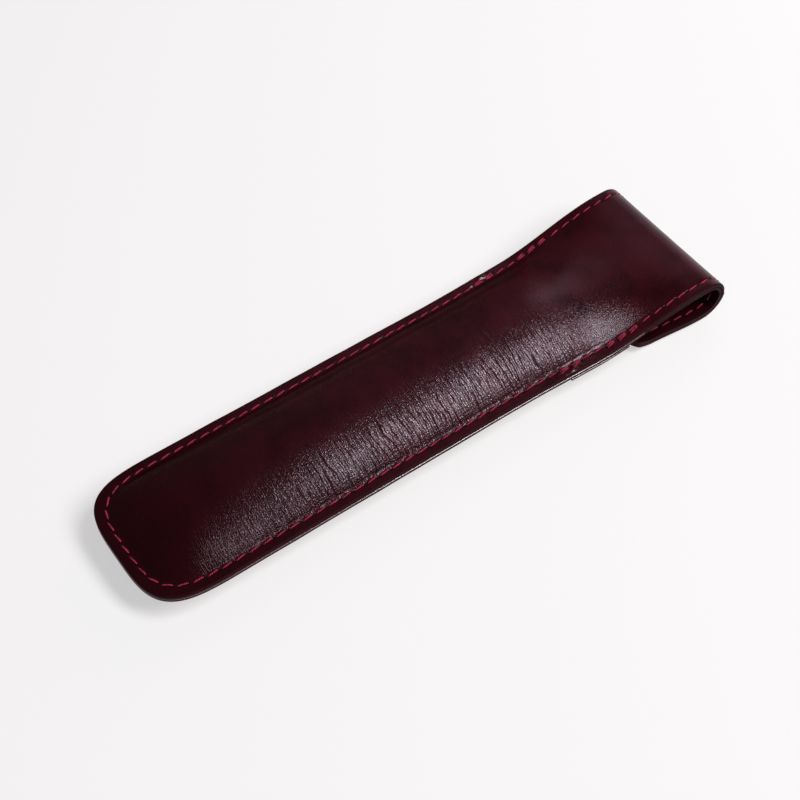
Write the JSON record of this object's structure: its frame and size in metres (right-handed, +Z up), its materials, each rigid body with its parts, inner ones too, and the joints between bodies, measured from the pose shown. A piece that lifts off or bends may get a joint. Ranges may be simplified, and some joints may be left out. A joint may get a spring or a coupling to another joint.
{
  "type": "single pen sleeve",
  "caption": "Leather sleeve for one pen, with a domed pocket and a lined flap that folds over the mouth and tucks under a strap.",
  "frame": {"origin": "under the middle of the closed sleeve, on the surface that it lies on, front down", "axes": "+X along the sleeve towards the fold, +Z up through the back panel"},
  "size_m": [0.1656, 0.0412, 0.0143],
  "materials": {
    "leather": "glossy",
    "lining": "satin",
    "thread": "waxed"
  },
  "bodies": {
    "sleeve": {"back_panel": "leather", "pocket_front": "leather", "retaining_strap": "leather", "flap_lining_top": "lining", "pocket_seam": "thread", "strap_backstitches": "thread", "flap_seam_top": "thread"},
    "fold": {"fold_outer": "leather", "fold_lining": "lining", "fold_seam": "thread"},
    "flap": {"flap_outer": "leather", "flap_lining": "lining", "tongue_outer": "leather", "tongue_lining": "lining", "flap_seam": "thread", "tongue_seam": "thread"}
  },
  "joints": [
    {"name": "fold_bend", "type": "hinge", "parent": "sleeve", "child": "fold", "pos_m": [0.08046, 0, 0.01088], "axis": [0, -1, 0], "range_deg": [0, 90]},
    {"name": "flap_bend", "type": "hinge", "parent": "fold", "child": "flap", "pos_m": [0.08046, 0, 0.00246], "axis": [0, -1, 0], "range_deg": [0, 90], "deforming": ["tongue_outer", "tongue_lining", "tongue_seam"]}
  ],
  "couplings": [
    {"joint": "flap_bend", "follows": "fold_bend", "ratio": 1}
  ]
}
